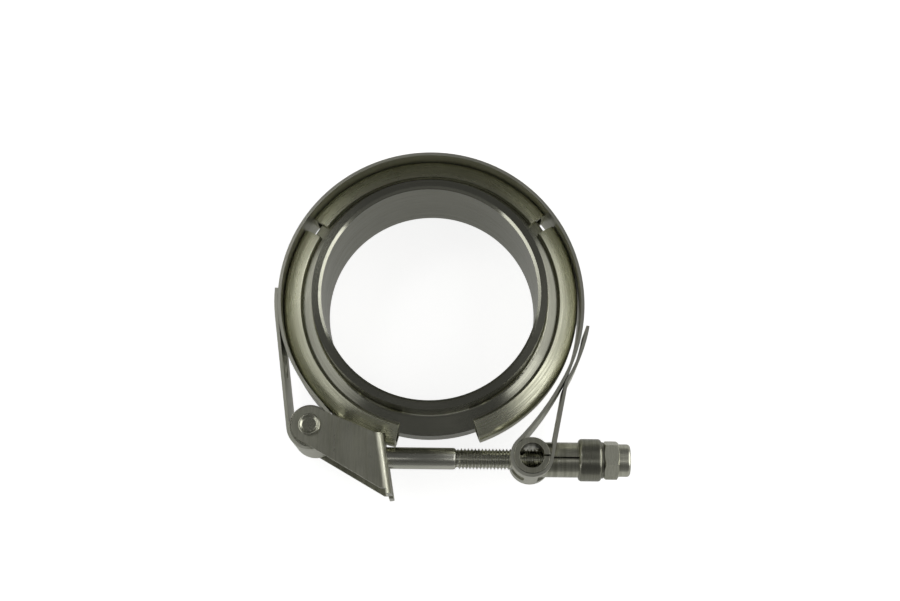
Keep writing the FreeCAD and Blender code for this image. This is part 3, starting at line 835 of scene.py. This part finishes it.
    @staticmethod
    def _number(tree: bpy.types.NodeTree, operation: str, first: Any,
                second: Any) -> bpy.types.NodeSocket:
        """Add one sum of two numbers.

        Args:
            tree: the node tree that gets it.
            operation: the kind of sum.
            first: the first number or the socket that gives it.
            second: the second number or the socket that gives it.

        Returns:
            The socket of the result.
        """
        return add(tree, "ShaderNodeMath", {0: first, 1: second},
                   operation=operation).outputs[0]

    @staticmethod
    def _join(piece: bpy.types.Object, extra: bpy.types.Object) -> None:
        """Add another piece's faces to a piece and delete the other.

        Args:
            piece: the piece that grows.
            extra: the piece that is taken up.
        """
        form = bmesh.new()
        form.from_mesh(piece.data)
        form.from_mesh(extra.data)
        form.to_mesh(piece.data)
        form.free()
        bpy.data.objects.remove(extra)


@dataclass
class Lamp:
    """A white soft box that looks at the clamp.

    Attributes:
        name: the lamp's name.
        place: where it hangs, in millimetres from the ring's middle.
        width: its size across, in millimetres.
        height: its other size, in millimetres.
        power: its output in watts.
    """

    name: str
    place: tuple[float, float, float]
    width: float
    height: float
    power: float

    def light(self, target: Vector) -> None:
        """Hang the soft box and turn it to the target.

        Args:
            target: the point that it looks at, in metres.
        """
        data = bpy.data.lights.new(self.name, "AREA")
        data.shape = "RECTANGLE"
        data.size, data.size_y = self.width * MM, self.height * MM
        data.energy = self.power
        lamp = bpy.data.objects.new(self.name, data)
        bpy.context.scene.collection.objects.link(lamp)
        lamp.location = Vector(self.place) * MM
        aim = target - lamp.location
        lamp.rotation_euler = aim.to_track_quat("-Z", "Y").to_euler()


# The low boxes draw the bright edges, the high ones light the sloping sheet, and the
# small ones give the bolt its line and the right leg its glint.
LAMPS = (
    Lamp("left low box", (-640.0, -60.0, 190.0), width=820.0, height=240.0, power=1.4),
    Lamp("right low box", (640.0, 60.0, 190.0), width=820.0, height=240.0, power=2.0),
    Lamp("left high box", (-455.0, 0.0, 455.0), width=720.0, height=330.0, power=0.56),
    Lamp("right high box", (455.0, 50.0, 455.0), width=720.0, height=330.0, power=0.72),
    Lamp("strip box", (-40.0, -175.0, 645.0), width=300.0, height=130.0, power=0.08),
    Lamp("key soft box", (-330.0, 250.0, 620.0), width=240.0, height=160.0, power=0.35),
    Lamp("fill soft box", (380.0, -160.0, 560.0), width=200.0, height=140.0, power=0.13),
)


@dataclass
class Studio:
    """Pale floor, soft lamps and the camera above the clamp.

    Attributes:
        elevation: the camera's height angle, in degrees.
        swing: how far it stands round to the right, in degrees.
        roll: how far it leans, in degrees.
        distance: from the camera to the ring's middle, in millimetres.
        lens: focal length in millimetres.
        sensor: sensor width in millimetres.
        ring_in_view: where the ring's middle lies off the view's, in millimetres.
        floor_height: the floor's height, in millimetres.
        floor_reach: how far the floor runs each way, in millimetres.
        floor_glow: how strongly the paper glows for the camera.
        floor_mirrored: how strongly it glows in polished metal.
        horizon: the room's brightness at the horizon.
        zenith: the room's brightness overhead.
        zenith_height: sine of the angle from which the room is as dim as overhead.
    """

    elevation: float = 76.372
    swing: float = 2.652
    roll: float = 1.990
    distance: float = 430.0
    lens: float = 58.48
    sensor: float = 36.0
    ring_in_view: tuple[float, float] = (-5.698, -1.212)
    floor_height: float = -15.1
    floor_reach: float = 3000.0
    floor_glow: float = 0.83
    floor_mirrored: float = 0.2
    horizon: float = 0.2
    zenith: float = 0.095
    zenith_height: float = 0.8

    def build(self) -> None:
        """Set up everything that isn't part of the clamp."""
        self._camera()
        self._floor()
        self._world()
        for lamp in LAMPS:
            lamp.light(Vector((0.0, 0.0, 0.0)))
        bpy.context.scene.view_settings.view_transform = "Standard"

    def _camera(self) -> None:
        """Place the camera and make it the scene's own."""
        rise, turn = math.radians(self.elevation), math.radians(self.swing)
        back = Vector((math.sin(turn) * math.cos(rise), -math.cos(turn) * math.cos(rise),
                       math.sin(rise)))
        right = Vector((math.cos(turn), math.sin(turn), 0.0))
        up = back.cross(right)
        level = Matrix((right, up, back))
        view = Matrix.Rotation(math.radians(self.roll), 3, "Z") @ level
        shift = Vector((*self.ring_in_view, -self.distance)) * MM
        data = bpy.data.cameras.new("studio camera")
        data.sensor_width, data.lens = self.sensor, self.lens
        data.clip_start, data.clip_end = 0.01, 20.0
        camera = bpy.data.objects.new("studio camera", data)
        bpy.context.scene.collection.objects.link(camera)
        turned = view.transposed()
        camera.matrix_world = Matrix.Translation(-(turned @ shift)) @ turned.to_4x4()
        bpy.context.scene.camera = camera

    def _floor(self) -> None:
        """Lay the white sweep that the clamp stands on."""
        reach = self.floor_reach * MM
        form = bmesh.new()
        corners = [form.verts.new((x * reach, y * reach, self.floor_height * MM))
                   for x, y in ((-1, -1), (1, -1), (1, 1), (-1, 1))]
        form.faces.new(corners)
        mesh = bpy.data.meshes.new("studio_floor")
        form.to_mesh(mesh)
        form.free()
        floor = new_piece("studio_floor", mesh)
        material = bpy.data.materials.new("matt white paper")
        material.use_nodes = True
        tree = material.node_tree
        tree.nodes.clear()
        glow = add(tree, "ShaderNodeEmission", {
            "Color": linear("#FFFFFF"), "Strength": self._seen(tree)})
        paper = add(tree, "ShaderNodeBsdfDiffuse", {"Color": linear("#C4C4C2")})
        both = add(tree, "ShaderNodeAddShader", {
            0: glow.outputs[0], 1: paper.outputs[0]})
        add(tree, "ShaderNodeOutputMaterial", {"Surface": both.outputs[0]})
        dress(floor, material)

    def _seen(self, tree: bpy.types.NodeTree) -> bpy.types.NodeSocket:
        """Add how strongly the paper glows for the rays that look at it.

        Args:
            tree: the paper's node tree.

        Returns:
            The strength socket: one level for the camera, a lower one in polished metal
            and through glass, and none for the light that falls on the clamp.
        """
        path = add(tree, "ShaderNodeLightPath").outputs
        mirror = add(tree, "ShaderNodeMath", {
            0: path["Is Glossy Ray"], 1: path["Is Transmission Ray"]},
            operation="MAXIMUM")
        dim = add(tree, "ShaderNodeMath", {
            0: mirror.outputs[0], 1: self.floor_mirrored}, operation="MULTIPLY")
        return add(tree, "ShaderNodeMath", {
            0: path["Is Camera Ray"], 1: self.floor_glow, 2: dim.outputs[0]},
            operation="MULTIPLY_ADD").outputs[0]

    def _world(self) -> None:
        """Make the room: white where the camera sees it, and dim overhead."""
        world = bpy.data.worlds.new("studio room")
        bpy.context.scene.world = world
        world.use_nodes = True
        tree = world.node_tree
        tree.nodes.clear()
        way = add(tree, "ShaderNodeTexCoord").outputs["Generated"]
        height = add(tree, "ShaderNodeSeparateXYZ", {"Vector": way}).outputs["Z"]
        ceiling = add(tree, "ShaderNodeMapRange", {
            "Value": height, "From Min": 0.0, "From Max": self.zenith_height,
            "To Min": self.horizon, "To Max": self.zenith},
            interpolation_type="SMOOTHSTEP")
        straight = add(tree, "ShaderNodeLightPath").outputs["Is Camera Ray"]
        level = add(tree, "ShaderNodeMix", {
            0: straight, 2: ceiling.outputs["Result"], 3: 1.0})
        room = add(tree, "ShaderNodeBackground", {
            "Color": linear("#FFFFFF"), "Strength": level.outputs[0]})
        add(tree, "ShaderNodeOutputWorld", {"Surface": room.outputs[0]})


def main() -> None:
    """Load the frame, dress every sub-assembly and set up the studio."""
    logging.basicConfig(level=logging.INFO, format="%(name)s: %(message)s")
    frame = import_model()
    finishes = Finishes()
    Studio().build()
    for part in (FlangePair(frame, finishes, "clamp"), RingBand(frame, finishes, "clamp"),
                 Latch(frame, finishes, "clamp"), Saddle(frame, finishes, "saddle"),
                 TeeBolt(frame, finishes, "bolt"), LockNut(frame, finishes, "nut")):
        part.build()
        LOG.info("%s is dressed", type(part).__name__)


if __name__ == "__main__":
    main()
